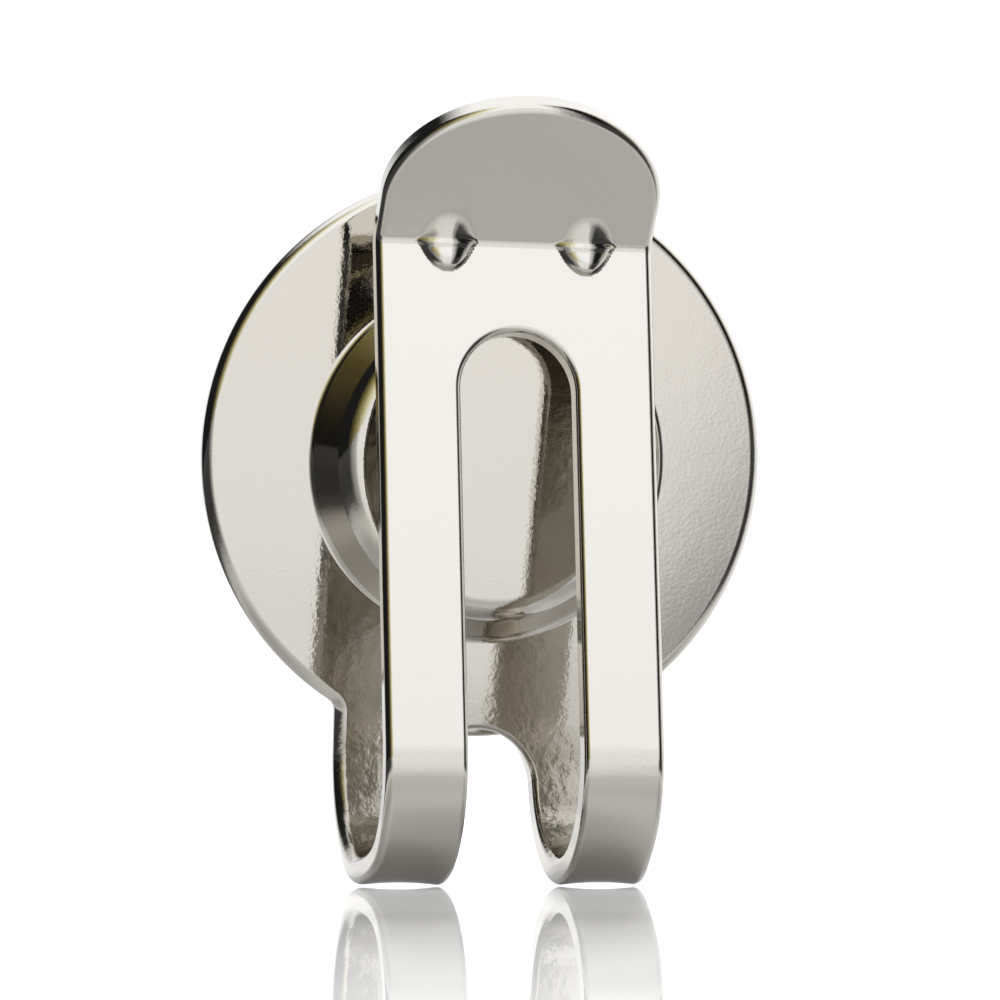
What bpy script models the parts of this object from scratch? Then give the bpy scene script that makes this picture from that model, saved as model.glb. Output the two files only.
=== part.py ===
"""Spring cap clip with a magnetic cup and a ball-marker coin.

A single nickel-plated steel stamping: a round plate with a drawn cup, two strip legs that turn
back in a U under the plate, a slotted spring arm and a half-round thumb tab with two pressed
stiffening darts in the fold.  A disc magnet is glued into the cup and holds the marker coin on the
front of the plate.

Frame: +Z up the clip, -Y towards the arm, +Y towards the marker, X across.  The origin is the
centre of the flat top of the cup, which is the face that bears on the cap brim.
"""
import math

import bmesh
import bpy
import numpy as np
from mathutils import Vector
from mathutils.geometry import delaunay_2d_cdt

MM = 0.001

# ---- driving dimensions, in millimetres ------------------------------------------------------
SHEET_T = 1.2            # thickness of the sheet
EDGE_R = 0.3             # tumbled edge radius
PLATE_R = 12.5           # round plate
CORNER_R = 0.6           # inside corner between the plate and each leg
STRIP_HALF = 6.0         # half the width of the arm and tab
LEG_HALF = 6.4           # half the width over both legs, as far as the bottom of the U-bends
SLOT_HALF = 2.5          # half the width of the slot, also its end radius
BEND_INNER_R = 4.1       # inside radius of the U-bends
BEND_START = 12.65       # distance of the bend's start below the plate's centre
ARM_LEAN = 13.8          # degrees the arm closes towards the plate, beyond parallel
ARM_LENGTH = 21.3        # from the end of the bend to the fold
FOLD_R = 0.5             # inside radius of the thumb tab's fold
TAB_LEAN = 33.0          # degrees the tab leans out from the plate's vertical
TAB_LENGTH = 6.6         # from the fold to the tip
CROWN = 4.65             # height of the tab's half-round end
NOTCH_TOP = 11.8         # distance of the slot's lower end below the plate's centre
SLOT_RISE = 17.54        # from the end of the bend to the slot's upper end
CUP_H = 2.3              # how far the cup stands proud of the plate
CUP_BASE_R = 8.0         # where the cup's fillet starts on the plate
CUP_FLAT_R = 5.8         # flat top of the cup
CUP_SHOULDER_R = 1.3     # outside radius at the edge of the flat top
CUP_FILLET_R = 0.35      # inside radius at the cup's foot
DART_X = 3.0             # darts either side of the middle
DART_HALF_W = 1.3        # half the width of a dart
DART_ON_ARM = 1.5        # how far a dart reaches down the arm from the fold
DART_ON_TAB = 1.95       # how far it runs out up the tab
DART_PUNCH_R = 1.94      # radius of the round-nosed punch that presses a dart
BEND_ARCH = 0.13         # how far the middle of each bent leg is drawn in from its edges
MAGNET_R, MAGNET_T = 5.75, 2.0
GLUE_R, GLUE_T = 5.3, 0.12
GLUE_GAP = 0.03
MARKER_R, MARKER_T = 12.25, 1.5
MARKER_GAP = 0.06
RECESS_R, RECESS_D = 11.2, 0.5
ENAMEL_GAP = 0.04
ENAMEL_T = 0.38
NODE_GAP = 0.03          # gap between neighbouring pieces of the stamping

T2 = SHEET_T / 2.0
Y_PLATE = CUP_H                          # rear face of the plate
BEND_MID_R = BEND_INNER_R + T2
LEAN = math.radians(ARM_LEAN)
FOLD_ANGLE = math.radians(ARM_LEAN + TAB_LEAN)
FOLD_MID_R = FOLD_R + T2
FOLD_SET = FOLD_R * math.tan(FOLD_ANGLE / 2.0)
S_BEND = BEND_START
S_ARM = S_BEND + BEND_MID_R * (math.pi + LEAN)
S_FOLD = S_ARM + ARM_LENGTH - FOLD_SET
S_TAB = S_FOLD + FOLD_MID_R * FOLD_ANGLE
S_TIP = S_TAB + TAB_LENGTH - FOLD_SET
S_NOTCH = NOTCH_TOP + SLOT_HALF          # centre of the slot's lower end
S_SLOT = S_ARM + SLOT_RISE - SLOT_HALF   # centre of its upper end

for old in list(bpy.data.objects):
    bpy.data.objects.remove(old, do_unlink=True)


# ---- the sheet's middle surface: x across, s along the strip from the plate's centre ----------
def frame_at(s):
    """Point, direction along the strip and outward direction, as (y, z) pairs."""
    yc, zc = Y_PLATE - BEND_INNER_R, -BEND_START
    if s <= S_BEND:
        return (Y_PLATE + T2, -s), (0.0, -1.0), (1.0, 0.0)
    if s <= S_ARM:
        a = (s - S_BEND) / BEND_MID_R
        return (
            (yc + BEND_MID_R * math.cos(a), zc - BEND_MID_R * math.sin(a)),
            (-math.sin(a), -math.cos(a)),
            (math.cos(a), -math.sin(a)),
        )
    up, out = (math.sin(LEAN), math.cos(LEAN)), (-math.cos(LEAN), math.sin(LEAN))
    y0, z0 = yc + BEND_MID_R * out[0], zc + BEND_MID_R * out[1]
    if s <= S_FOLD:
        d = s - S_ARM
        return (y0 + d * up[0], z0 + d * up[1]), up, out
    d = S_FOLD - S_ARM
    y1, z1 = y0 + d * up[0], z0 + d * up[1]
    cy, cz = y1 + FOLD_MID_R * out[0], z1 + FOLD_MID_R * out[1]
    a = min(s - S_FOLD, S_TAB - S_FOLD) / FOLD_MID_R
    along = (up[0] * math.cos(a) + out[0] * math.sin(a), up[1] * math.cos(a) + out[1] * math.sin(a))
    away = (out[0] * math.cos(a) - up[0] * math.sin(a), out[1] * math.cos(a) - up[1] * math.sin(a))
    y2, z2 = cy - FOLD_MID_R * away[0], cz - FOLD_MID_R * away[1]
    rest = max(0.0, s - S_TAB)
    return (y2 + rest * along[0], z2 + rest * along[1]), along, away


def smooth(t):
    t = min(1.0, max(0.0, t))
    return t * t * (3.0 - 2.0 * t)


def dart_rise(x, s):
    """How far a dart lifts the sheet out of the fold's corner."""
    mid = (S_FOLD + S_TAB) / 2.0
    u = abs(abs(x) - DART_X) / DART_HALF_W
    on_arm = s < mid
    v = (mid - s) / DART_ON_ARM if on_arm else (s - mid) / DART_ON_TAB
    if v >= 1.0:
        return 0.0
    width = math.sqrt(1.0 - v ** 1.3) if on_arm else math.sqrt(1.0 - v * v)
    spine = 1.0 - v ** 6 if on_arm else 1.0 - v
    if u >= width:
        return 0.0
    rim = math.sqrt(DART_PUNCH_R ** 2 - DART_HALF_W ** 2)
    return (math.sqrt(DART_PUNCH_R ** 2 - (DART_HALF_W * u / width) ** 2) - rim) * spine


def half_width(s):
    """Half the strip's width: the legs narrow to the arm past the bottom of the bends."""
    t = (s - S_BEND) / BEND_MID_R
    return LEG_HALF + (STRIP_HALF - LEG_HALF) * smooth((t - 1.45) / 0.95)


def bend_arch(x, s):
    """A bent strip curls the other way across its width, so its edges stand out from its middle."""
    t = (s - S_BEND) / (S_ARM - S_BEND)
    if not 0.0 < t < 1.0:
        return 0.0
    mid, half = (LEG_HALF + SLOT_HALF) / 2.0, (LEG_HALF - SLOT_HALF) / 2.0
    return BEND_ARCH * math.sin(math.pi * t) ** 2 * min(1.2, ((abs(x) - mid) / half) ** 2)


def place(x, s, h):
    """A point h outward of the middle surface."""
    (y, z), along, away = frame_at(s)
    h = h + bend_arch(x, s)
    y, z = y + h * away[0], z + h * away[1]
    lift = dart_rise(x, s)
    if lift:
        half = LEAN - FOLD_ANGLE / 2.0
        y, z = y - lift * math.cos(half), z + lift * math.sin(half)
    return Vector((x * MM, y * MM, z * MM))


# ---- outlines in (x, s), each as a function of how far it is inset from the sheet's edge ------
def arc(cx, cs, r, a0, a1, n):
    return [
        (cx + r * math.cos(a0 + (a1 - a0) * i / n), cs + r * math.sin(a0 + (a1 - a0) * i / n))
        for i in range(n + 1)
    ]


def plate_outline(inset):
    """The round plate with both leg roots, cut off level where the bends start."""
    end = S_BEND - NODE_GAP / 2.0
    cx = LEG_HALF + CORNER_R
    cs = math.sqrt((PLATE_R + CORNER_R) ** 2 - cx ** 2)
    lean = math.atan2(cs, cx)
    pts = arc(0.0, 0.0, PLATE_R - inset, lean, lean - (2.0 * math.pi - (math.pi - 2.0 * lean)), 60)
    pts += arc(-cx, cs, CORNER_R + inset, -lean, 0.0, 5)[1:]
    pts.append((-(LEG_HALF - inset), end))
    r = SLOT_HALF + inset
    depth = S_NOTCH - end
    a = math.asin(depth / r)
    notch = arc(0.0, S_NOTCH, r, math.pi + a, 2.0 * math.pi - a, 16)
    pts += notch
    pts.append((LEG_HALF - inset, end))
    pts += arc(cx, cs, CORNER_R + inset, math.pi, math.pi + lean, 5)[:-1]
    return pts


def bend_outline(side):
    def outline(inset):
        a, b = S_BEND + NODE_GAP / 2.0, S_ARM - NODE_GAP / 2.0
        n = 26
        steps = [a + (b - a) * i / n for i in range(n + 1)]
        r = SLOT_HALF + inset

        def inner(s):
            return math.sqrt(r * r - (S_NOTCH - s) ** 2) if s < S_NOTCH else r

        pts = [(side * (half_width(s) - inset), s) for s in steps]
        return pts + [(side * inner(s), s) for s in reversed(steps)]

    return outline


def arm_outline(inset):
    start = S_ARM + NODE_GAP / 2.0
    x = STRIP_HALF - inset
    crown0 = S_TIP - CROWN
    rows = fold_rows()
    pts = [(x, start)] + [(x, s) for s in rows]
    n = 40
    pts += [
        (x * math.cos(math.pi * i / n), crown0 + (CROWN - inset) * math.sin(math.pi * i / n))
        for i in range(n + 1)
    ]
    pts += [(-x, s) for s in reversed(rows)] + [(-x, start)]
    r = SLOT_HALF + inset
    pts.append((-r, start))
    pts += arc(0.0, S_SLOT, r, math.pi, 0.0, 24)
    pts.append((r, start))
    return pts


def fold_rows():
    """Rows of points across the fold, closer where it is tight."""
    mid = (S_FOLD + S_TAB) / 2.0
    low, high = mid - DART_ON_ARM - 0.15, mid + DART_ON_TAB + 0.15
    rows = np.concatenate([
        np.linspace(low, S_FOLD, 7), np.linspace(S_FOLD, S_TAB, 7)[1:], np.linspace(S_TAB, high, 7)[1:],
    ])
    return [float(s) for s in rows]


def round_steps(n):
    """(inset, height) from one face of the sheet round its edge to the other."""
    out = []
    for i in range(n + 1):
        a = math.pi / 2.0 * (1.0 - i / n)
        out.append((EDGE_R * (1.0 - math.cos(a)), T2 - EDGE_R + EDGE_R * math.sin(a)))
    return out + [(d, -h) for d, h in reversed(out)]


def inside(p, loop):
    x, y = p
    hit = False
    for (x0, y0), (x1, y1) in zip(loop, loop[1:] + loop[:1]):
        if (y0 > y) != (y1 > y) and x < x0 + (y - y0) / (y1 - y0) * (x1 - x0):
            hit = not hit
    return hit


def triangulate(loop, hole, extra):
    pts = list(loop) + list(hole) + list(extra)
    n, m = len(loop), len(hole)
    edges = [(i, (i + 1) % n) for i in range(n)] + [(n + i, n + (i + 1) % m) for i in range(m)]
    verts, _, faces, orig, _, _ = delaunay_2d_cdt([Vector(p) for p in pts], edges, [], 0, 1e-7, True)
    back = [o[0] for o in orig]
    keep = []
    for f in faces:
        c = (sum(verts[i][0] for i in f) / 3.0, sum(verts[i][1] for i in f) / 3.0)
        if inside(c, list(loop)) and not (hole and inside(c, list(hole))):
            keep.append([back[i] for i in f])
    return pts, keep


def finish(bm, name, material, smooth=True):
    bmesh.ops.recalc_face_normals(bm, faces=bm.faces[:])
    if bm.calc_volume(signed=True) < 0.0:
        bmesh.ops.reverse_faces(bm, faces=bm.faces[:])
    mesh = bpy.data.meshes.new(name)
    bm.to_mesh(mesh)
    bm.free()
    obj = bpy.data.objects.new(name, mesh)
    bpy.context.scene.collection.objects.link(obj)
    mesh.materials.append(material)
    if smooth:
        mesh.polygons.foreach_set("use_smooth", [True] * len(mesh.polygons))
        mesh.set_sharp_from_angle(angle=math.radians(38.0))
    return obj


def cup_profile():
    """The drawn cup's middle surface from its rim to its flat top, as (radius, height, normal angle).

    The normal angle is 0 on the flat plate and on the cup's top, and turns outwards on the wall."""
    r1 = CUP_FILLET_R + T2                     # foot, centre on the rear side
    r2 = CUP_SHOULDER_R - T2                   # shoulder, centre inside the cup
    run = CUP_BASE_R - CUP_FLAT_R
    # the wall's slope that joins both arcs over the given run and height
    low, high = 0.05, math.pi / 2.0

    def height(a):
        straight = (run - (r1 + r2) * math.sin(a)) / math.cos(a)
        return (r1 + r2) * (1.0 - math.cos(a)) + straight * math.sin(a), straight

    for _ in range(60):
        mid = (low + high) / 2.0
        h, straight = height(mid)
        if straight < 0.0 or h > CUP_H:
            high = mid
        else:
            low = mid
    a = low
    straight = height(a)[1]
    out, n = [], 4
    for i in range(n + 1):
        t = a * i / n
        out.append((CUP_BASE_R - r1 * math.sin(t), r1 * (1.0 - math.cos(t)), t))
    x, h = out[-1][0] - straight * math.cos(a), out[-1][1] + straight * math.sin(a)
    for i in range(n + 1):
        t = a * (1.0 - i / n)
        out.append((x - r2 * (math.sin(a) - math.sin(t)), h + r2 * (math.cos(t) - math.cos(a)), t))
    return out


def sheet(name, outline, material, extra=(), cup=False, steps=2):
    """A thick sheet piece: two faces on one triangulation, joined by a rounded edge."""
    bm = bmesh.new()
    seg = 60
    hole = arc(0.0, 0.0, CUP_BASE_R, 0.0, 2.0 * math.pi, seg)[:-1] if cup else []
    levels = round_steps(steps)
    loops = [outline(d) for d, _ in levels]
    n = len(loops[0])
    rings = [[bm.verts.new(place(x, s, h)) for x, s in loop] for loop, (_, h) in zip(loops, levels)]
    for a, b in zip(rings, rings[1:]):
        for i in range(n):
            j = (i + 1) % n
            bm.faces.new((a[i], a[j], b[j], b[i]))
    pts, faces = triangulate(loops[0], hole, extra)
    for ring, h in ((rings[0], T2), (rings[-1], -T2)):
        more = [bm.verts.new(place(x, s, h)) for x, s in pts[n:]]
        own = ring + more
        for f in faces:
            bm.faces.new([own[i] for i in f])
        if cup:
            last = more[:seg]
            for rho, up, t in cup_profile()[1:]:
                # outward is +Y here and the cup rises towards -Y
                r = rho - h * math.sin(t) if h > 0 else rho + abs(h) * math.sin(t)
                y = Y_PLATE + T2 - up + h * math.cos(t)
                now = [
                    bm.verts.new((
                        r * math.cos(2.0 * math.pi * k / seg) * MM,
                        y * MM,
                        -r * math.sin(2.0 * math.pi * k / seg) * MM,
                    ))
                    for k in range(seg)
                ]
                for k in range(seg):
                    m = (k + 1) % seg
                    bm.faces.new((last[k], last[m], now[m], now[k]))
                last = now
            bm.faces.new(last)
    return finish(bm, name, material)


def turned(name, profile, material, seg=60):
    """A closed solid turned about the Y axis from (radius, y) points that start and end on it."""
    bm = bmesh.new()
    rows = []
    for r, y in profile:
        if r == 0.0:
            rows.append([bm.verts.new((0.0, y * MM, 0.0))])
        else:
            rows.append([
                bm.verts.new((
                    r * math.cos(2.0 * math.pi * k / seg) * MM, y * MM, r * math.sin(2.0 * math.pi * k / seg) * MM,
                ))
                for k in range(seg)
            ])
    for a, b in zip(rows, rows[1:]):
        for k in range(seg):
            m = (k + 1) % seg
            if len(a) == 1:
                bm.faces.new((a[0], b[k], b[m]))
            elif len(b) == 1:
                bm.faces.new((a[k], b[0], a[m]))
            else:
                bm.faces.new((a[k], b[k], b[m], a[m]))
    bmesh.ops.dissolve_limit(bm, angle_limit=0.001, verts=bm.verts[:], edges=[e for e in bm.edges if any(v in (rows[0] + rows[-1]) for v in e.verts)])
    return finish(bm, name, material)


def rounded_disc(r, y0, y1, edge, n=3):
    pts = [(0.0, y0)]
    pts += [(r - edge + edge * math.sin(math.pi / 2 * i / n), y0 + edge - edge * math.cos(math.pi / 2 * i / n)) for i in range(n + 1)]
    pts += [(r - edge + edge * math.cos(math.pi / 2 * i / n), y1 - edge + edge * math.sin(math.pi / 2 * i / n)) for i in range(n + 1)]
    return pts + [(0.0, y1)]


def material(name, colour, metal, rough):
    m = bpy.data.materials.new(name)
    m.use_nodes = True
    b = m.node_tree.nodes["Principled BSDF"]
    b.inputs["Base Color"].default_value = (*colour, 1.0)
    b.inputs["Metallic"].default_value = metal
    b.inputs["Roughness"].default_value = rough
    m.diffuse_color = (*colour, 1.0)
    return m


plating = (0.78, 0.77, 0.74)
m_plate = material("nickel_plate_body", plating, 1.0, 0.12)
m_left = material("nickel_left_bend", plating, 1.0, 0.12)
m_right = material("nickel_right_bend", plating, 1.0, 0.12)
m_arm = material("nickel_arm", plating, 1.0, 0.12)
m_magnet = material("magnet_coating", (0.30, 0.30, 0.31), 1.0, 0.30)
m_glue = material("clear_adhesive", (0.75, 0.72, 0.60), 0.0, 0.35)
m_coin = material("marker_metal", (0.72, 0.71, 0.69), 1.0, 0.16)
m_enamel = material("marker_enamel_fill", (0.75, 0.77, 0.78), 0.0, 0.20)

# ---- the stamping -----------------------------------------------------------------------------
sheet("clip_plate", plate_outline, m_plate, cup=True)


def bend_extra(side):
    a, b = S_BEND + NODE_GAP / 2.0, S_ARM - NODE_GAP / 2.0
    return [(side * x, a + (b - a) * i / 26) for i in range(1, 26) for x in (3.35, 4.35, 5.25)]


sheet("left_leg_bend", bend_outline(-1.0), m_left, extra=bend_extra(-1.0))
sheet("right_leg_bend", bend_outline(1.0), m_right, extra=bend_extra(1.0))

fold_grid = []
for row in fold_rows():
    for u in np.linspace(-1.0, 1.0, 11):
        for side in (-1.0, 1.0):
            fold_grid.append((side * DART_X + float(u) * DART_HALF_W, row))
    fold_grid += [(0.0, row), (-5.0, row), (5.0, row), (-0.95, row), (0.95, row)]
sheet("spring_arm", arm_outline, m_arm, extra=fold_grid)

# ---- magnet, its glue and the marker coin -----------------------------------------------------
cup_floor = SHEET_T                                  # front side of the cup's flat
glue0 = cup_floor + GLUE_GAP
magnet0 = glue0 + GLUE_T + GLUE_GAP
turned("magnet_adhesive", rounded_disc(GLUE_R, glue0, glue0 + GLUE_T, 0.04, 2), m_glue, 48)
turned("magnet", rounded_disc(MAGNET_R, magnet0, magnet0 + MAGNET_T, 0.2, 2), m_magnet, 56)

coin0 = Y_PLATE + SHEET_T + MARKER_GAP
coin1 = coin0 + MARKER_T
coin = rounded_disc(MARKER_R, coin0, coin1, 0.25)[:-1]
coin += [(RECESS_R, coin1), (RECESS_R, coin1 - RECESS_D), (0.0, coin1 - RECESS_D)]
marker = turned("marker_disc", coin, m_coin, 72)
fill0 = coin1 - RECESS_D + ENAMEL_GAP
fill = turned("marker_enamel", rounded_disc(RECESS_R - 0.06, fill0, fill0 + ENAMEL_T, 0.06, 1), m_enamel, 72)
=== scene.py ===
"""Looks of the spring cap clip: one continuous nickel-plated stamping, magnet cup and marker coin."""
import math

import bmesh
import bpy
import numpy as np
from mathutils import Matrix, Vector
from mathutils.geometry import delaunay_2d_cdt


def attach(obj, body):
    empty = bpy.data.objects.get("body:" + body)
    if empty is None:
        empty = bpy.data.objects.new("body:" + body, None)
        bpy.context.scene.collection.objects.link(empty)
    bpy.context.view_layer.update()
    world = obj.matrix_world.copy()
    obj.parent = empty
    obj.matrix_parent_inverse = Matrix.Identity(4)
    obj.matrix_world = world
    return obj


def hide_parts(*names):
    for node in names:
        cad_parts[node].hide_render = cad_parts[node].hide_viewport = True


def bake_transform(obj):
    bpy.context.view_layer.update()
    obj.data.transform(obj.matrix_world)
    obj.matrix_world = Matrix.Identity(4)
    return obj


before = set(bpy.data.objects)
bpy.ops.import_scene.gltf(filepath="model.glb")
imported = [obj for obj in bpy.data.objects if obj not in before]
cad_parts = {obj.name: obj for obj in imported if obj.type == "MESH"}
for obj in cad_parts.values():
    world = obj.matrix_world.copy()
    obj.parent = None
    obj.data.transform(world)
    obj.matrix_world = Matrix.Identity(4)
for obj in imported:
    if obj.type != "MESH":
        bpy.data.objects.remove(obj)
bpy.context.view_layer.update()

MM = 0.001

# ---- the stamping's dimensions, in millimetres, as the CAD part has them ----------------------
SHEET_T, T2 = 1.2, 0.6
PLATE_R, CORNER_R = 12.5, 0.6
STRIP_HALF, LEG_HALF, SLOT_HALF = 6.0, 6.4, 2.5
BEND_INNER_R, BEND_START = 4.1, 12.65
ARM_LEAN, ARM_LENGTH = 13.8, 21.3
FOLD_R, TAB_LEAN, TAB_LENGTH, CROWN = 0.5, 33.0, 6.6, 4.65
NOTCH_TOP, SLOT_RISE = 11.8, 17.54
CUP_H, CUP_BASE_R, CUP_FLAT_R = 2.3, 8.0, 5.8
CUP_SHOULDER_R, CUP_FILLET_R = 1.3, 0.35
DART_X, DART_HALF_W, DART_ON_ARM, DART_ON_TAB = 3.0, 1.3, 1.5, 1.95
DART_PUNCH_R = 1.94
BEND_ARCH = 0.13
OUTER_EDGE, STRIP_EDGE, SLOT_EDGE = 0.54, 0.36, 0.28      # tumbled edge radii: plate rim, arm and tab, slot

Y_PLATE = CUP_H
BEND_MID_R = BEND_INNER_R + T2
LEAN = math.radians(ARM_LEAN)
FOLD_ANGLE = math.radians(ARM_LEAN + TAB_LEAN)
FOLD_MID_R = FOLD_R + T2
FOLD_SET = FOLD_R * math.tan(FOLD_ANGLE / 2.0)
S_BEND = BEND_START
S_ARM = S_BEND + BEND_MID_R * (math.pi + LEAN)
S_FOLD = S_ARM + ARM_LENGTH - FOLD_SET
S_TAB = S_FOLD + FOLD_MID_R * FOLD_ANGLE
S_TIP = S_TAB + TAB_LENGTH - FOLD_SET
S_NOTCH = NOTCH_TOP + SLOT_HALF
S_SLOT = S_ARM + SLOT_RISE - SLOT_HALF
YC, ZC = Y_PLATE - BEND_INNER_R, -BEND_START


# ---- the sheet's middle surface ---------------------------------------------------------------
def frame_at(s):
    """Point, direction along the strip and outward direction, as (y, z) pairs."""
    if s <= S_BEND:
        return (Y_PLATE + T2, -s), (0.0, -1.0), (1.0, 0.0)
    if s <= S_ARM:
        a = (s - S_BEND) / BEND_MID_R
        return (
            (YC + BEND_MID_R * math.cos(a), ZC - BEND_MID_R * math.sin(a)),
            (-math.sin(a), -math.cos(a)),
            (math.cos(a), -math.sin(a)),
        )
    up, out = (math.sin(LEAN), math.cos(LEAN)), (-math.cos(LEAN), math.sin(LEAN))
    y0, z0 = YC + BEND_MID_R * out[0], ZC + BEND_MID_R * out[1]
    if s <= S_FOLD:
        d = s - S_ARM
        return (y0 + d * up[0], z0 + d * up[1]), up, out
    d = S_FOLD - S_ARM
    y1, z1 = y0 + d * up[0], z0 + d * up[1]
    cy, cz = y1 + FOLD_MID_R * out[0], z1 + FOLD_MID_R * out[1]
    a = min(s - S_FOLD, S_TAB - S_FOLD) / FOLD_MID_R
    along = (up[0] * math.cos(a) + out[0] * math.sin(a), up[1] * math.cos(a) + out[1] * math.sin(a))
    away = (out[0] * math.cos(a) - up[0] * math.sin(a), out[1] * math.cos(a) - up[1] * math.sin(a))
    y2, z2 = cy - FOLD_MID_R * away[0], cz - FOLD_MID_R * away[1]
    rest = max(0.0, s - S_TAB)
    return (y2 + rest * along[0], z2 + rest * along[1]), along, away


def smooth(t):
    t = min(1.0, max(0.0, t))
    return t * t * (3.0 - 2.0 * t)


def dart_rise(x, s):
    """How far a dart lifts the sheet out of the fold's corner; its rim is blended a little."""
    mid = (S_FOLD + S_TAB) / 2.0
    u = abs(abs(x) - DART_X) / DART_HALF_W
    on_arm = s < mid
    v = (mid - s) / DART_ON_ARM if on_arm else (s - mid) / DART_ON_TAB
    if v >= 1.3 or u >= 1.3:
        return 0.0
    rim = math.sqrt(DART_PUNCH_R ** 2 - DART_HALF_W ** 2)
    soft = 0.016
    if on_arm:
        width = math.sqrt(1.0 - min(v, 0.985) ** 1.3)
        top = DART_PUNCH_R ** 2 - (DART_HALF_W * min(u / width, 1.35)) ** 2
        rise = (math.sqrt(top) - rim) * max(1.0 - v ** 6, 0.0) - 0.5 * max(0.0, u * u + v ** 1.3 - 1.0)
    else:                                    # towards the tab the dart runs out into the flat
        fade = 0.9 * smooth(v / 0.35)
        room = min(1.0, max(0.0, 1.0 - u * u - v * v))
        rise = (math.sqrt(DART_PUNCH_R ** 2 - DART_HALF_W ** 2 * (1.0 - room)) - rim) * room ** fade * max(0.0, 1.0 - v) ** 0.6
        rise -= 0.5 * max(0.0, u * u + v * v - 1.0)
        soft = soft * (1.0 - smooth(v / 0.3)) + 1e-4
    if rise > 12.0 * soft:
        return rise
    return soft * math.log1p(math.exp(rise / soft)) if rise > -8.0 * soft else 0.0


def half_width(s):
    t = (s - S_BEND) / BEND_MID_R
    return LEG_HALF + (STRIP_HALF - LEG_HALF) * smooth((t - 1.45) / 0.95)


def bend_arch(x, s):
    t = (s - S_BEND) / (S_ARM - S_BEND)
    if not 0.0 < t < 1.0:
        return 0.0
    mid, half = (LEG_HALF + SLOT_HALF) / 2.0, (LEG_HALF - SLOT_HALF) / 2.0
    return BEND_ARCH * math.sin(math.pi * t) ** 2 * min(1.2, ((abs(x) - mid) / half) ** 2)


def place(x, s, h):
    (y, z), along, away = frame_at(s)
    h = h + bend_arch(x, s)
    y, z = y + h * away[0], z + h * away[1]
    lift = dart_rise(x, s)
    if lift:
        half = LEAN - FOLD_ANGLE / 2.0
        y, z = y - lift * math.cos(half), z + lift * math.sin(half)
    return np.array((x, y, z))


def axes_at(x, s, h):
    """Unit vectors across, along and outward of the surface at height h, bumps included."""
    e = 2e-3
    dx = place(x + e, s, h) - place(x - e, s, h)
    ds = place(x, s + e, h) - place(x, s - e, h)
    dx /= np.linalg.norm(dx)
    n = np.cross(ds, dx)
    n /= np.linalg.norm(n)
    away = frame_at(s)[2]
    if n[1] * away[0] + n[2] * away[1] < 0:
        n = -n
    ds = ds / np.linalg.norm(ds)
    return dx, ds, n


# ---- outline of the whole blank ---------------------------------------------------------------
def arc(cx, cs, r, a0, a1, n):
    return [
        (cx + r * math.cos(a0 + (a1 - a0) * i / n), cs + r * math.sin(a0 + (a1 - a0) * i / n))
        for i in range(n + 1)
    ]


def lin(a, b, n):
    return [a + (b - a) * i / n for i in range(n + 1)]


def fold_rows():
    mid = (S_FOLD + S_TAB) / 2.0
    low, high = mid - DART_ON_ARM * 1.2, mid + DART_ON_TAB * 1.12
    return lin(low, S_FOLD, 20) + lin(S_FOLD, S_TAB, 16)[1:] + lin(S_TAB, high, 18)[1:]


BEND_ROWS = lin(S_BEND, S_ARM, 72)
CROWN0 = S_TIP - CROWN


def outer_outline(inset):
    cx = LEG_HALF + CORNER_R
    cs = math.sqrt((PLATE_R + CORNER_R) ** 2 - cx ** 2)
    lean = math.atan2(cs, cx)
    side = STRIP_HALF - inset
    pts = arc(0.0, 0.0, PLATE_R - inset, lean, lean - (math.pi + 2.0 * lean), 160)
    pts += arc(-cx, cs, CORNER_R + inset, -lean, 0.0, 10)[1:]
    rows = BEND_ROWS + fold_rows()
    pts += [(-(half_width(s) - inset), s) for s in rows]
    n = 72
    pts += [
        (-side * math.cos(math.pi * i / n), CROWN0 + (CROWN - inset) * math.sin(math.pi * i / n))
        for i in range(n + 1)
    ]
    pts += [(half_width(s) - inset, s) for s in reversed(rows)]
    pts += arc(cx, cs, CORNER_R + inset, math.pi, math.pi + lean, 10)[:-1]
    return pts


def hole_outline(inset):
    r = SLOT_HALF + inset
    rows = [s for s in BEND_ROWS if s > S_NOTCH + 0.05] + [S_ARM + 0.2]
    pts = arc(0.0, S_NOTCH, r, math.pi, 2.0 * math.pi, 32)
    pts += [(r, s) for s in rows]
    pts += arc(0.0, S_SLOT, r, 0.0, math.pi, 32)
    pts += [(-r, s) for s in reversed(rows)]
    return pts


def inside(p, loop):
    x, y = p
    hit = False
    for (x0, y0), (x1, y1) in zip(loop, loop[1:] + loop[:1]):
        if (y0 > y) != (y1 > y) and x < x0 + (y - y0) / (y1 - y0) * (x1 - x0):
            hit = not hit
    return hit


def cup_profile():
    """(radius, height, slope angle) down the cup's middle surface, from its foot to its top."""
    r1, r2 = CUP_FILLET_R + T2, CUP_SHOULDER_R - T2
    run = CUP_BASE_R - CUP_FLAT_R
    low, high = 0.05, math.pi / 2.0

    def height(a):
        straight = (run - (r1 + r2) * math.sin(a)) / math.cos(a)
        return (r1 + r2) * (1.0 - math.cos(a)) + straight * math.sin(a), straight

    for _ in range(60):
        mid = (low + high) / 2.0
        h, straight = height(mid)
        if straight < 0.0 or h > CUP_H:
            high = mid
        else:
            low = mid
    a = low
    straight = height(a)[1]
    out, n = [], 14
    for i in range(n + 1):
        t = a * i / n
        out.append((CUP_BASE_R - r1 * math.sin(t), r1 * (1.0 - math.cos(t)), t))
    x, h = out[-1][0] - straight * math.cos(a), out[-1][1] + straight * math.sin(a)
    for i in range(n + 1):
        t = a * (1.0 - i / n)
        out.append((x - r2 * (math.sin(a) - math.sin(t)), h + r2 * (math.cos(t) - math.cos(a)), t))
    return out


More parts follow.
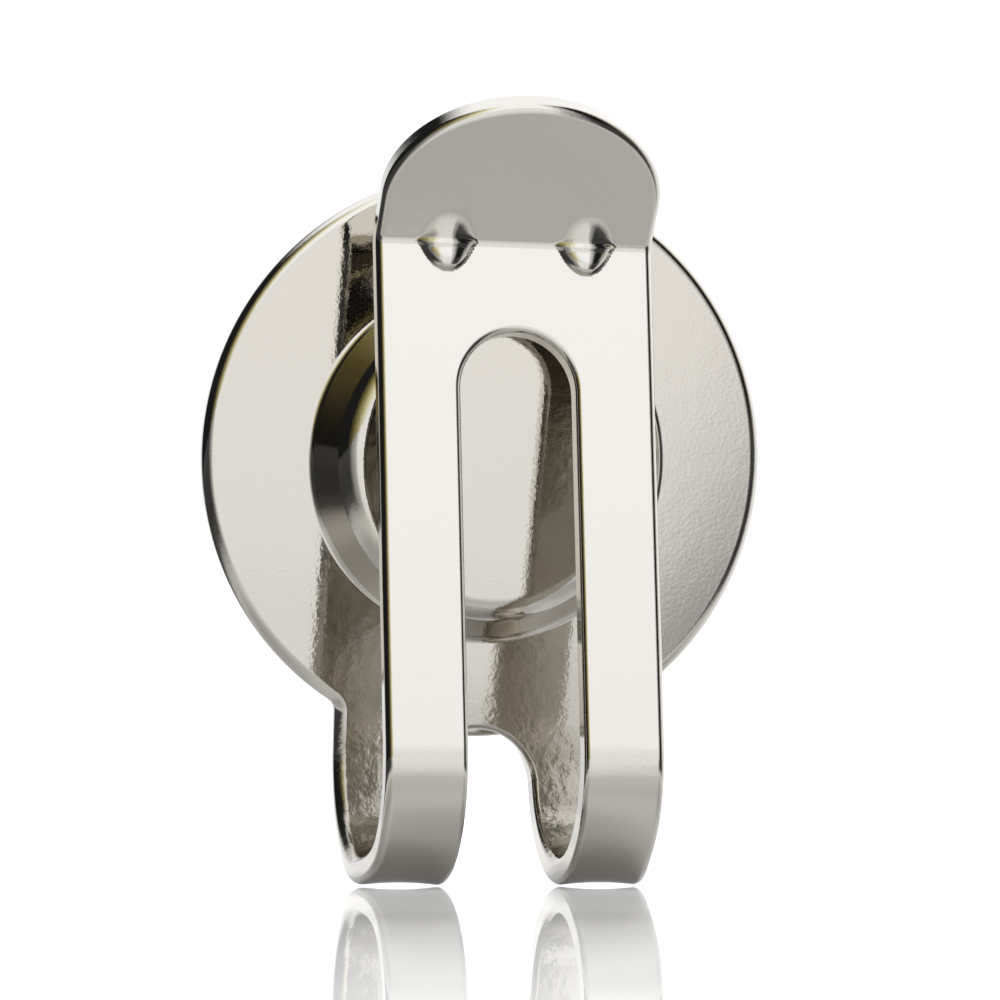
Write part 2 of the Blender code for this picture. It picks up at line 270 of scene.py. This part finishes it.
class Builder:
    """Collects vertices with their exact normals."""

    def __init__(self):
        self.co, self.no, self.faces, self.recess = [], [], [], []

    def vert(self, p, n, recess=0.0):
        self.recess.append(recess)
        self.co.append(tuple(float(c) * MM for c in p))
        self.no.append(tuple(float(c) for c in n))
        return len(self.co) - 1

    def strip(self, a, b, closed=True):
        n = len(a)
        for i in range(n if closed else n - 1):
            j = (i + 1) % n
            self.faces.append((a[i], a[j], b[j], b[i]))

    def mesh(self, name):
        me = bpy.data.meshes.new(name)
        me.from_pydata(self.co, [], self.faces)
        me.update()
        bm = bmesh.new()
        bm.from_mesh(me)
        bmesh.ops.recalc_face_normals(bm, faces=bm.faces[:])
        if bm.calc_volume(signed=True) < 0.0:
            bmesh.ops.reverse_faces(bm, faces=bm.faces[:])
        bm.to_mesh(me)
        bm.free()
        me.polygons.foreach_set("use_smooth", [True] * len(me.polygons))
        me.normals_split_custom_set_from_vertices(self.no)
        layer = me.attributes.new("recess", "FLOAT", "POINT")
        layer.data.foreach_set("value", self.recess)
        me.update()
        ob = bpy.data.objects.new(name, me)
        bpy.context.scene.collection.objects.link(ob)
        return ob


def edge_rings(b, outline, radii, steps=7):
    """Rings of vertices round the blank's edge from the outward face to the other face."""
    base, step = outline(0.0), outline(1e-3)
    dirs = [((q[0] - p[0]) / 1e-3, (q[1] - p[1]) / 1e-3) for p, q in zip(base, step)]
    rings, firsts, lasts = [], [], []
    angles = [math.pi / 2.0 * (1.0 - i / steps) for i in range(steps + 1)]
    for sign, seq in ((1.0, angles), (-1.0, angles[::-1])):
        for a in seq:
            ring = []
            for (x, s), (mx, ms), r in zip(base, dirs, radii):
                d, h = r * (1.0 - math.cos(a)), sign * (T2 - r + r * math.sin(a))
                px, ps = x + mx * d, s + ms * d
                ex, es, n = axes_at(px, ps, h)
                side = -(mx * ex + ms * es)
                side -= n * float(side @ n)
                length = np.linalg.norm(side)
                side = side / length if length > 1e-9 else side
                nn = math.cos(a) * side + sign * math.sin(a) * n
                nn /= np.linalg.norm(nn)
                ring.append(b.vert(place(px, ps, h), nn, recess_at(s) * (1.0 if sign < 0 and a > 0.5 else 0.0)))
            rings.append(ring)
    loop = [(x + mx * r, s + ms * r) for (x, s), (mx, ms), r in zip(base, dirs, radii)]
    return rings, loop


def recess_at(s):
    """Mask for the painted shade, the duller gloss and the creases: 1 on the inside of the U, fading out up the plate
    and up the back of the arm.
    """
    return smooth((s - S_BEND + 1.8) / 3.0) * (0.35 + 0.65 * smooth((S_ARM + 6.0 - s) / 8.0)) * smooth((S_FOLD - s) / 2.0)


def stamping():
    b = Builder()
    radii = [OUTER_EDGE + (STRIP_EDGE - OUTER_EDGE) * smooth((s - S_BEND - 2.0) / 8.0) for _, s in outer_outline(0.0)]
    rings, loop = edge_rings(b, outer_outline, radii, 9)
    for p, q in zip(rings, rings[1:]):
        b.strip(p, q)
    hole_n = len(hole_outline(0.0))
    rings2, loop2 = edge_rings(b, hole_outline, [SLOT_EDGE] * hole_n)
    for p, q in zip(rings2, rings2[1:]):
        b.strip(p, q)
    seg = 144
    cup = arc(0.0, 0.0, CUP_BASE_R, 0.0, 2.0 * math.pi, seg)[:-1]
    extra = []
    # rows across both U-bends
    for s in BEND_ROWS[1:-1]:
        for x in (2.9, 3.3, 3.7, 4.1, 4.5, 4.9, 5.3):
            if s > S_NOTCH or x > 2.95:
                extra += [(x, s), (-x, s)]
    for row in fold_rows():
        for x in lin(-5.3, 5.3, 130):
            if row < CROWN0 - 0.05 or abs(x) < 5.0:
                extra.append((x, row))
    pts = loop + loop2 + cup + extra
    n1, n2, n3 = len(loop), len(loop2), len(cup)
    edges = [(i, (i + 1) % n1) for i in range(n1)]
    edges += [(n1 + i, n1 + (i + 1) % n2) for i in range(n2)]
    edges += [(n1 + n2 + i, n1 + n2 + (i + 1) % n3) for i in range(n3)]
    verts, _, faces, orig, _, _ = delaunay_2d_cdt([Vector(p) for p in pts], edges, [], 0, 1e-7, True)
    keep = []
    for f in faces:
        c = (sum(verts[i][0] for i in f) / 3.0, sum(verts[i][1] for i in f) / 3.0)
        if inside(c, loop) and not inside(c, loop2) and math.hypot(*c) > CUP_BASE_R * math.cos(math.pi / seg) - 1e-6:
            keep.append([orig[i][0] for i in f])
    for first, first2, sign in ((rings[0], rings2[0], 1.0), (rings[-1], rings2[-1], -1.0)):
        h = sign * T2
        own = list(first) + list(first2)
        for x, s in cup + extra:
            own.append(b.vert(place(x, s, h), sign * axes_at(x, s, h)[2], recess_at(s) if sign < 0 else 0.0))
        for f in keep:
            b.faces.append(tuple(own[i] for i in f))
        last = own[n1 + n2:n1 + n2 + n3]
        profile = cup_profile()[1:]
        flat = profile[-1][0]
        profile = profile + [(flat * k, CUP_H, 0.0) for k in (0.72, 0.46, 0.22)]
        for rho, up, t in profile:
            r = rho - h * math.sin(t)
            y = Y_PLATE + T2 - up + h * math.cos(t)
            now = []
            for k in range(seg):
                c, s_ = math.cos(2.0 * math.pi * k / seg), math.sin(2.0 * math.pi * k / seg)
                now.append(b.vert((r * c, y, -r * s_), (-sign * math.sin(t) * c, sign * math.cos(t), sign * math.sin(t) * s_)))
            b.strip(last, now)
            last = now
        middle = b.vert((0.0, Y_PLATE + T2 - CUP_H + h, 0.0), (0.0, sign, 0.0))
        for k in range(seg):
            b.faces.append((last[k], last[(k + 1) % seg], middle))
    return b.mesh("stamping")


# ---- materials --------------------------------------------------------------------------------
def node(tree, kind, **values):
    n = tree.nodes.new(kind)
    for key, value in values.items():
        if key[0].isupper():
            n.inputs[key].default_value = value
        else:
            setattr(n, key, value)
    return n


def curve(tree, source, points):
    """A smooth ramp of grey against a value, from (value, grey) points."""
    low, high = points[0][0], points[-1][0]
    scale = node(tree, "ShaderNodeMapRange")
    scale.inputs["From Min"].default_value = low
    scale.inputs["From Max"].default_value = high
    tree.links.new(source, scale.inputs["Value"])
    ramp = tree.nodes.new("ShaderNodeValToRGB")
    ramp.color_ramp.interpolation = "EASE"
    e = ramp.color_ramp.elements
    for k, (at, grey) in enumerate(points):
        one = e[0] if k == 0 else e[len(e) - 1] if k == len(points) - 1 else e.new((at - low) / (high - low))
        one.color = (*grey, 1.0) if isinstance(grey, tuple) else (grey, grey, grey, 1.0)
    tree.links.new(scale.outputs["Result"], ramp.inputs["Fac"])
    return ramp.outputs["Color"]


def principled(name, colour, metal, rough):
    m = bpy.data.materials.new(name)
    m.use_nodes = True
    p = m.node_tree.nodes["Principled BSDF"]
    p.inputs["Base Color"].default_value = (*colour, 1.0)
    p.inputs["Metallic"].default_value = metal
    p.inputs["Roughness"].default_value = rough
    return m, p


def nickel(name, colour=(0.66, 0.63, 0.575), rough=0.055, grain=0.028, recess=False):
    """Bright nickel plate over tumbled steel: near-mirror with a fine orange peel.

    The tumbling media reaches the inside of the U-bends less, so the sheet is rougher and duller there and
    keeps the small creases that the bending pressed into it. Its base colour is darkened there as well: painted shade
    where the legs face each other."""
    m, p = principled(name, colour, 1.0, rough)
    nt = m.node_tree
    tc = nt.nodes.new("ShaderNodeTexCoord")
    fine = node(nt, "ShaderNodeTexNoise", Scale=6000.0, Detail=2.0)
    nt.links.new(tc.outputs["Object"], fine.inputs["Vector"])
    broad = node(nt, "ShaderNodeTexNoise", Scale=700.0, Detail=3.0)
    nt.links.new(tc.outputs["Object"], broad.inputs["Vector"])
    add = node(nt, "ShaderNodeMath", operation="MULTIPLY_ADD")
    nt.links.new(broad.outputs["Fac"], add.inputs[0])
    add.inputs[1].default_value = 1.6
    nt.links.new(fine.outputs["Fac"], add.inputs[2])
    bump = node(nt, "ShaderNodeBump")
    bump.inputs["Strength"].default_value = 1.0
    bump.inputs["Distance"].default_value = grain * 1e-4
    nt.links.new(add.outputs[0], bump.inputs["Height"])
    last = bump
    if recess:
        # painted shade: inside the U-bends the base colour turns a darker brown grey; the rougher gloss and the crease
        # bumps there are real
        inner = node(nt, "ShaderNodeAttribute", attribute_name="recess")
        shade = node(nt, "ShaderNodeMix", data_type="RGBA")
        shade.inputs["A"].default_value = (*colour, 1.0)
        shade.inputs["B"].default_value = (0.48, 0.445, 0.38, 1.0)
        nt.links.new(inner.outputs["Fac"], shade.inputs["Factor"])
        nt.links.new(shade.outputs["Result"], p.inputs["Base Color"])
        dull = node(nt, "ShaderNodeMapRange")
        dull.inputs["To Min"].default_value = rough
        dull.inputs["To Max"].default_value = 0.20
        nt.links.new(inner.outputs["Fac"], dull.inputs["Value"])
        nt.links.new(dull.outputs["Result"], p.inputs["Roughness"])
        crease = node(nt, "ShaderNodeTexNoise", Scale=2300.0, Detail=4.0)
        nt.links.new(tc.outputs["Object"], crease.inputs["Vector"])
        crumple = node(nt, "ShaderNodeBump")
        crumple.inputs["Distance"].default_value = 0.00004
        nt.links.new(crease.outputs["Fac"], crumple.inputs["Height"])
        nt.links.new(inner.outputs["Fac"], crumple.inputs["Strength"])
        nt.links.new(bump.outputs["Normal"], crumple.inputs["Normal"])
        last = crumple
    nt.links.new(last.outputs["Normal"], p.inputs["Normal"])
    return m


clip = stamping()
clip.data.materials.append(nickel("nickel_plate", recess=True))
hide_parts("clip_plate", "left_leg_bend", "right_leg_bend", "spring_arm")
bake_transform(clip)



# ---- magnet, adhesive and marker coin: the CAD's turned shapes, finely divided --------------------
GLUE_R, GLUE_T, GLUE_GAP = 5.3, 0.12, 0.03
MAGNET_R, MAGNET_T = 5.75, 2.0
MARKER_R, MARKER_T, MARKER_GAP = 12.25, 1.5, 0.06
RECESS_R, RECESS_D, ENAMEL_GAP, ENAMEL_T = 11.2, 0.5, 0.04, 0.38


def lathe(name, corners, material, body, seg=192, steps=6):
    """A solid turned about the Y axis from (radius, y, corner radius), back to front, with exact normals."""
    ring = []
    for (r0, y0, _), (r1, y1, f), (r2, y2, _) in zip(corners, corners[1:], corners[2:]):
        l1, l2 = math.hypot(r1 - r0, y1 - y0), math.hypot(r2 - r1, y2 - y1)
        d1, d2 = ((r1 - r0) / l1, (y1 - y0) / l1), ((r2 - r1) / l2, (y2 - y1) / l2)
        turn = math.atan2(d1[0] * d2[1] - d1[1] * d2[0], d1[0] * d2[0] + d1[1] * d2[1])
        sign, back = (1.0 if turn > 0 else -1.0), f * math.tan(abs(turn) / 2.0)
        n1 = (d1[1], -d1[0])
        cr, cy = r1 - d1[0] * back - sign * f * n1[0], y1 - d1[1] * back - sign * f * n1[1]
        for k in range(steps + 1):
            a = turn * k / steps
            nr, ny = n1[0] * math.cos(a) - n1[1] * math.sin(a), n1[0] * math.sin(a) + n1[1] * math.cos(a)
            ring.append((cr + sign * f * nr, cy + sign * f * ny, nr, ny))
    b = Builder()
    rows = []
    for r, y, nr, ny in ring:
        rows.append([
            b.vert((r * math.cos(2 * math.pi * k / seg), y, r * math.sin(2 * math.pi * k / seg)),
                   (nr * math.cos(2 * math.pi * k / seg), ny, nr * math.sin(2 * math.pi * k / seg)))
            for k in range(seg)
        ])
    for one, two in zip(rows, rows[1:]):
        b.strip(one, two)
    for row, y, n in ((rows[0], corners[0][1], -1.0), (rows[-1], corners[-1][1], 1.0)):
        middle = b.vert((0.0, y, 0.0), (0.0, n, 0.0))
        for k in range(seg):
            b.faces.append((row[k], row[(k + 1) % seg], middle))
    ob = b.mesh(name + "_turned")
    ob.data.materials.append(material)
    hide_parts(name)
    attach(ob, body)
    return ob


def round_block(r, y0, y1, edge):
    return [(0.0, y0, 0.0), (r, y0, edge), (r, y1, edge), (0.0, y1, 0.0)]


def colour_of(name):
    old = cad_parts[name].material_slots[0].material
    return tuple(old.node_tree.nodes["Principled BSDF"].inputs["Base Color"].default_value)[:3]


def turned_lines(m, p, pitch, depth, after=None):
    """Fine concentric lines about the coin's axis, left by the die."""
    nt = m.node_tree
    tc = nt.nodes.new("ShaderNodeTexCoord")
    lines = node(nt, "ShaderNodeTexWave", wave_type="RINGS", rings_direction="Y", Scale=2.0 * math.pi / (20.0 * pitch))
    lines.inputs["Distortion"].default_value = 0.4
    nt.links.new(tc.outputs["Object"], lines.inputs["Vector"])
    bump = node(nt, "ShaderNodeBump")
    bump.inputs["Distance"].default_value = depth
    nt.links.new(lines.outputs["Fac"], bump.inputs["Height"])
    if after:
        nt.links.new(after, bump.inputs["Normal"])
    nt.links.new(bump.outputs["Normal"], p.inputs["Normal"])


def enamel(name, colour):
    """Hard enamel: a glassy pool with a slightly uneven surface and two plain darker rings."""
    m, p = principled(name, colour, 0.0, 0.12)
    p.inputs["Coat Weight"].default_value = 1.0
    p.inputs["Coat Roughness"].default_value = 0.03
    nt = m.node_tree
    tc = nt.nodes.new("ShaderNodeTexCoord")
    flat = node(nt, "ShaderNodeVectorMath", operation="MULTIPLY")
    nt.links.new(tc.outputs["Object"], flat.inputs[0])
    flat.inputs[1].default_value = (1.0, 0.0, 1.0)
    far = node(nt, "ShaderNodeVectorMath", operation="LENGTH")
    nt.links.new(flat.outputs["Vector"], far.inputs[0])
    ring = tuple(0.62 * c for c in colour)
    band = curve(nt, far.outputs["Value"], [
        (0.0, ring), (0.0016, ring), (0.00172, colour), (0.0090, colour), (0.00912, ring), (0.0098, ring), (0.00992, colour), (0.013, colour),
    ])
    cloud = node(nt, "ShaderNodeTexNoise", Scale=900.0, Detail=3.0)
    nt.links.new(tc.outputs["Object"], cloud.inputs["Vector"])
    vary = node(nt, "ShaderNodeMix", data_type="RGBA", blend_type="MULTIPLY")
    nt.links.new(band, vary.inputs["A"])
    tone = node(nt, "ShaderNodeMapRange")
    tone.inputs["To Min"].default_value = 0.88
    tone.inputs["To Max"].default_value = 1.0
    nt.links.new(cloud.outputs["Fac"], tone.inputs["Value"])
    nt.links.new(tone.outputs["Result"], vary.inputs["B"])
    vary.inputs["Factor"].default_value = 1.0
    nt.links.new(vary.outputs["Result"], p.inputs["Base Color"])
    wave = node(nt, "ShaderNodeTexNoise", Scale=320.0, Detail=1.0)
    nt.links.new(tc.outputs["Object"], wave.inputs["Vector"])
    bump = node(nt, "ShaderNodeBump")
    bump.inputs["Distance"].default_value = 0.00002
    nt.links.new(wave.outputs["Fac"], bump.inputs["Height"])
    nt.links.new(bump.outputs["Normal"], p.inputs["Normal"])
    nt.links.new(bump.outputs["Normal"], p.inputs["Coat Normal"])
    return m


def resin(name, colour):
    """A cured bead of clear adhesive, slightly cloudy with small bubbles."""
    m, p = principled(name, colour, 0.0, 0.22)
    p.inputs["Transmission Weight"].default_value = 0.45
    p.inputs["IOR"].default_value = 1.5
    nt = m.node_tree
    tc = nt.nodes.new("ShaderNodeTexCoord")
    cells = node(nt, "ShaderNodeTexVoronoi", Scale=2600.0)
    nt.links.new(tc.outputs["Object"], cells.inputs["Vector"])
    bump = node(nt, "ShaderNodeBump")
    bump.inputs["Distance"].default_value = 0.00003
    nt.links.new(cells.outputs["Distance"], bump.inputs["Height"])
    nt.links.new(bump.outputs["Normal"], p.inputs["Normal"])
    return m


coin, coin_shader = principled("marker_nickel", (0.64, 0.61, 0.56), 1.0, 0.10)
turned_lines(coin, coin_shader, 0.00022, 0.000002)
glue0 = SHEET_T + GLUE_GAP
magnet0 = glue0 + GLUE_T + GLUE_GAP
coin0 = Y_PLATE + SHEET_T + MARKER_GAP
coin1 = coin0 + MARKER_T
fill0 = coin1 - RECESS_D + ENAMEL_GAP
lathe("marker_disc", [
    (0.0, coin0, 0.0), (MARKER_R, coin0, 0.25), (MARKER_R, coin1, 0.25), (RECESS_R, coin1, 0.05),
    (RECESS_R, coin1 - RECESS_D, 0.02), (0.0, coin1 - RECESS_D, 0.0),
], coin, "marker")
lathe("marker_enamel", round_block(RECESS_R - 0.06, fill0, fill0 + ENAMEL_T, 0.06),
      enamel("marker_hard_enamel", colour_of("marker_enamel")), "marker")
lathe("magnet", round_block(MAGNET_R, magnet0, magnet0 + MAGNET_T, 0.2),
      nickel("magnet_nickel", colour=(0.52, 0.51, 0.49), rough=0.16, grain=0.05), "clip")
lathe("magnet_adhesive", round_block(GLUE_R, glue0, glue0 + GLUE_T, 0.04),
      resin("cured_adhesive", colour_of("magnet_adhesive")), "clip")

# ---- camera -----------------------------------------------------------------------------------
TILT = math.radians(8.0)          # the clip stands with its plate leaning this much
PIVOT = -16.0


def standing(y, z, point=True):
    """From the upright view's axes to the part's own axes, in the Y-Z plane."""
    z0 = PIVOT if point else 0.0
    zz = z - z0
    return (
        y * math.cos(TILT) + zz * math.sin(TILT) + (CUP_H if point else 0.0),
        -y * math.sin(TILT) + zz * math.cos(TILT) + z0,
    )


AZ = math.radians(-13.3)
CAM_D, FOCAL = 170.0, 3837.0
cam_x, cam_y, cam_z = 1.12 + CAM_D * math.sin(AZ), -CAM_D * math.cos(AZ), -17.65
cy, cz = standing(cam_y, cam_z)
fy, fz = standing(math.cos(AZ), 0.0, False)
fwd = Vector((-math.sin(AZ), fy, fz))
uy, uz = standing(0.0, 1.0, False)
up = Vector((0.0, uy, uz))
right = fwd.cross(up)
cam_data = bpy.data.cameras.new("camera")
cam_data.sensor_width = 36.0
cam_data.lens = 36.0 * FOCAL / 1000.0
cam_data.shift_y = 0.374 + (cam_z + 18.2) * (FOCAL / CAM_D) / 1000.0 * -1.0
cam_data.clip_start = 0.001
cam_data.clip_end = 50.0
cam = bpy.data.objects.new("camera", cam_data)
bpy.context.scene.collection.objects.link(cam)
rot = Matrix((right, up, -fwd)).transposed().to_4x4()
cam.matrix_world = Matrix.Translation(Vector((cam_x, cy, cz)) * MM) @ rot
bpy.context.scene.camera = cam

# ---- floor ------------------------------------------------------------------------------------
contact = Vector((0.0, YC, ZC)) - up * (BEND_INNER_R + SHEET_T + BEND_ARCH)
me = bpy.data.meshes.new("floor")
size = 1500.0
me.from_pydata([(-size * MM, -size * MM, 0), (size * MM, -size * MM, 0), (size * MM, size * MM, 0), (-size * MM, size * MM, 0)], [], [(0, 1, 2, 3)])
floor = bpy.data.objects.new("floor", me)
bpy.context.scene.collection.objects.link(floor)
floor.matrix_world = Matrix.Translation((contact - up * 0.01) * MM) @ Matrix.Rotation(-TILT, 4, "X")

TENT = 1.4                        # brightness of the white tent the clip stands in
D = math.radians(1.0)


m = bpy.data.materials.new("glossy_floor_painted_light")
m.use_nodes = True
nt = m.node_tree
p = nt.nodes["Principled BSDF"]
tc = nt.nodes.new("ShaderNodeTexCoord")
length = nt.nodes.new("ShaderNodeVectorMath")
length.operation = "LENGTH"
nt.links.new(tc.outputs["Object"], length.inputs[0])
near_far = length.outputs["Value"]
p.inputs["IOR"].default_value = 2.9
lp = node(nt, "ShaderNodeLightPath")
unseen = node(nt, "ShaderNodeMath", operation="SUBTRACT")
unseen.inputs[0].default_value = 1.0
nt.links.new(lp.outputs["Is Camera Ray"], unseen.inputs[1])
satin = node(nt, "ShaderNodeMath", operation="MULTIPLY")
nt.links.new(unseen.outputs[0], satin.inputs[0])
satin.inputs[1].default_value = 0.42
nt.links.new(satin.outputs[0], p.inputs["Roughness"])
# painted light: for reflected rays the floor glows a little more within about 15 mm of the contact
more = node(nt, "ShaderNodeMath", operation="MULTIPLY")
nt.links.new(unseen.outputs[0], more.inputs[0])
nt.links.new(curve(nt, near_far, [(0.0, 0.08), (0.007, 0.08), (0.011, 0.05), (0.015, 0.0)]), more.inputs[1])


def seen_or_not(seen, reflected):
    """One curve for the floor as it is seen and one for the floor as the metal reflects it."""
    pick = node(nt, "ShaderNodeMix", data_type="RGBA")
    nt.links.new(unseen.outputs[0], pick.inputs["Factor"])
    nt.links.new(curve(nt, near_far, seen), pick.inputs["A"])
    nt.links.new(curve(nt, near_far, reflected), pick.inputs["B"])
    return pick.outputs["Result"]


# painted shadow: the floor's base colour is darkest at the clip's contact and lightens outwards, with a darker band
# about 100 mm out; reflected rays get their own curve with a dip 14 to 20 mm out
base = seen_or_not(
    [(0.0, 0.15), (0.006, 0.19), (0.012, 0.40), (0.030, 0.50), (0.045, 0.50), (0.075, 0.42), (0.094, 0.24), (0.107, 0.36), (0.117, 0.55), (0.128, 0.82), (0.160, 0.86)],
    [(0.0, 0.15), (0.006, 0.19), (0.010, 0.35), (0.014, 0.30), (0.020, 0.27), (0.028, 0.38), (0.040, 0.60), (0.080, 0.78), (0.160, 0.80)],
)
nt.links.new(base, p.inputs["Base Color"])
# painted light: the floor glows by its distance from the contact, with one curve as seen and one as reflected
glow = seen_or_not(
    [(0.0, 0.03), (0.006, 0.06), (0.012, 0.18), (0.030, 0.20), (0.075, 0.13), (0.094, 0.07), (0.107, 0.14), (0.128, 0.20), (0.160, 0.20)],
    [(0.0, 0.03), (0.006, 0.06), (0.010, 0.15), (0.014, 0.11), (0.020, 0.09), (0.032, 0.18), (0.080, 0.21)],
)
total = node(nt, "ShaderNodeMath", operation="ADD")
nt.links.new(glow, total.inputs[0])
nt.links.new(more.outputs[0], total.inputs[1])
nt.links.new(total.outputs[0], p.inputs["Emission Color"])
p.inputs["Emission Strength"].default_value = 1.0
# painted light: the floor glows white more and more with distance, fully white 200 mm out
white = nt.nodes.new("ShaderNodeEmission")
white.inputs["Color"].default_value = (1, 1, 1, 1)
white.inputs["Strength"].default_value = 0.8 * TENT
mix = nt.nodes.new("ShaderNodeMixShader")
nt.links.new(curve(nt, near_far, [(0.0, 0.0), (0.012, 0.02), (0.034, 0.20), (0.085, 0.24), (0.105, 0.27), (0.127, 0.34), (0.137, 0.43), (0.142, 0.58), (0.147, 0.72), (0.151, 0.84), (0.200, 1.0)]), mix.inputs["Fac"])
nt.links.new(p.outputs["BSDF"], mix.inputs[1])
nt.links.new(white.outputs["Emission"], mix.inputs[2])
# painted sheen: at a low angle, reflected rays see the floor mixed towards white glow by a Fresnel factor within about
# 16 to 45 mm of the contact; the bent legs mirror it
grazing_fresnel = node(nt, "ShaderNodeFresnel", IOR=1.5)
zone = node(nt, "ShaderNodeMath", operation="MULTIPLY")
nt.links.new(grazing_fresnel.outputs["Fac"], zone.inputs[0])
nt.links.new(curve(nt, near_far, [(0.009, 0.0), (0.016, 1.0), (0.045, 1.0), (0.070, 0.0)]), zone.inputs[1])
sheen = node(nt, "ShaderNodeMath", operation="MULTIPLY")
nt.links.new(zone.outputs[0], sheen.inputs[0])
nt.links.new(unseen.outputs[0], sheen.inputs[1])
painted_sheen_mix = nt.nodes.new("ShaderNodeMixShader")
nt.links.new(sheen.outputs[0], painted_sheen_mix.inputs["Fac"])
nt.links.new(mix.outputs["Shader"], painted_sheen_mix.inputs[1])
nt.links.new(white.outputs["Emission"], painted_sheen_mix.inputs[2])
# painted shade: reflected rays see the floor turn near-black towards both sides, where the tent has its dark openings
place_xy = node(nt, "ShaderNodeSeparateXYZ")
nt.links.new(tc.outputs["Object"], place_xy.inputs["Vector"])
ahead = node(nt, "ShaderNodeMath", operation="MULTIPLY")
nt.links.new(place_xy.outputs["Y"], ahead.inputs[0])
ahead.inputs[1].default_value = -1.0
heading = node(nt, "ShaderNodeMath", operation="ARCTAN2")
nt.links.new(place_xy.outputs["X"], heading.inputs[0])
nt.links.new(ahead.outputs[0], heading.inputs[1])
shade = curve(nt, heading.outputs[0], [
    (-180 * D, 0.0), (-155 * D, 0.1), (-138 * D, 1.0), (-60 * D, 1.0), (-38 * D, 0.60), (-24 * D, 0.0),
    (18 * D, 0.0), (28 * D, 0.6), (38 * D, 1.0), (66 * D, 1.0), (82 * D, 0.4), (92 * D, 0.0), (180 * D, 0.0),
])
reach = curve(nt, near_far, [(0.026, 0.0), (0.046, 0.90), (0.060, 0.95)])
side = node(nt, "ShaderNodeMath", operation="MULTIPLY")
nt.links.new(shade, side.inputs[0])
nt.links.new(reach, side.inputs[1])
only = node(nt, "ShaderNodeMath", operation="MULTIPLY")
nt.links.new(side.outputs[0], only.inputs[0])
nt.links.new(unseen.outputs[0], only.inputs[1])
dark = node(nt, "ShaderNodeEmission", Strength=0.012)
mix2 = nt.nodes.new("ShaderNodeMixShader")
nt.links.new(only.outputs[0], mix2.inputs["Fac"])
nt.links.new(painted_sheen_mix.outputs["Shader"], mix2.inputs[1])
nt.links.new(dark.outputs["Emission"], mix2.inputs[2])
nt.links.new(mix2.outputs["Shader"], nt.nodes["Material Output"].inputs["Surface"])
me.materials.append(m)

# ---- world: a white tent with dark openings at both sides -------------------------------------
world = bpy.data.worlds.new("tent")
bpy.context.scene.world = world
world.use_nodes = True
wt = world.node_tree
bg = wt.nodes["Background"]
geo = wt.nodes.new("ShaderNodeTexCoord")
rotate = wt.nodes.new("ShaderNodeVectorRotate")
rotate.rotation_type = "X_AXIS"
rotate.inputs["Angle"].default_value = TILT
wt.links.new(geo.outputs["Generated"], rotate.inputs["Vector"])
sep = wt.nodes.new("ShaderNodeSeparateXYZ")
wt.links.new(rotate.outputs["Vector"], sep.inputs["Vector"])
back = node(wt, "ShaderNodeMath", operation="MULTIPLY")
wt.links.new(sep.outputs["Y"], back.inputs[0])
back.inputs[1].default_value = -1.0
bearing = node(wt, "ShaderNodeMath", operation="ARCTAN2")   # 0 in front of the arm, positive to +X
wt.links.new(sep.outputs["X"], bearing.inputs[0])
wt.links.new(back.outputs[0], bearing.inputs[1])
tent = curve(wt, bearing.outputs[0], [
    (-180 * D, 1.0), (-158 * D, 0.75), (-138 * D, 0.012), (-66 * D, 0.012), (-56 * D, (0.09, 0.07, 0.025)),
    (-42 * D, (0.28, 0.24, 0.11)), (-31 * D, (0.58, 0.54, 0.32)), (-22 * D, (0.86, 0.83, 0.64)), (-13 * D, 1.0), (19 * D, 1.0), (30 * D, 0.50), (43 * D, 0.012), (60 * D, 0.012),
    (76 * D, (0.50, 0.46, 0.38)), (90 * D, 1.0), (180 * D, 1.0),
])
lp = wt.nodes.new("ShaderNodeLightPath")
pick = wt.nodes.new("ShaderNodeMix")
pick.data_type = "RGBA"
wt.links.new(lp.outputs["Is Camera Ray"], pick.inputs["Factor"])
pick.inputs["B"].default_value = (1.0, 1.0, 1.0, 1.0)
tint = wt.nodes.new("ShaderNodeMix")
tint.data_type = "RGBA"
tint.blend_type = "MULTIPLY"
tint.inputs["Factor"].default_value = 1.0
tint.inputs["B"].default_value = (0.97, 0.99, 1.03, 1.0)
lift = curve(wt, sep.outputs["Z"], [(-0.3, 0.79), (0.0, 0.79), (0.10, 0.83), (0.20, 0.95), (0.36, 1.0), (1.0, 1.0)])
dim = node(wt, "ShaderNodeMix", data_type="RGBA", blend_type="MULTIPLY")
dim.inputs["Factor"].default_value = 1.0
roof = node(wt, "ShaderNodeMix", data_type="RGBA")           # the openings end below the tent's roof
wt.links.new(curve(wt, sep.outputs["Z"], [(-1.0, 0.0), (0.74, 0.0), (0.92, 1.0), (1.0, 1.0)]), roof.inputs["Factor"])
wt.links.new(tent, roof.inputs["A"])
roof.inputs["B"].default_value = (1.0, 1.0, 1.0, 1.0)
wt.links.new(roof.outputs["Result"], dim.inputs["A"])
wt.links.new(lift, dim.inputs["B"])
wt.links.new(dim.outputs["Result"], pick.inputs["A"])
wt.links.new(pick.outputs["Result"], tint.inputs["A"])
wt.links.new(tint.outputs["Result"], bg.inputs["Color"])
bg.inputs["Strength"].default_value = TENT

bpy.context.scene.view_settings.view_transform = "Standard"
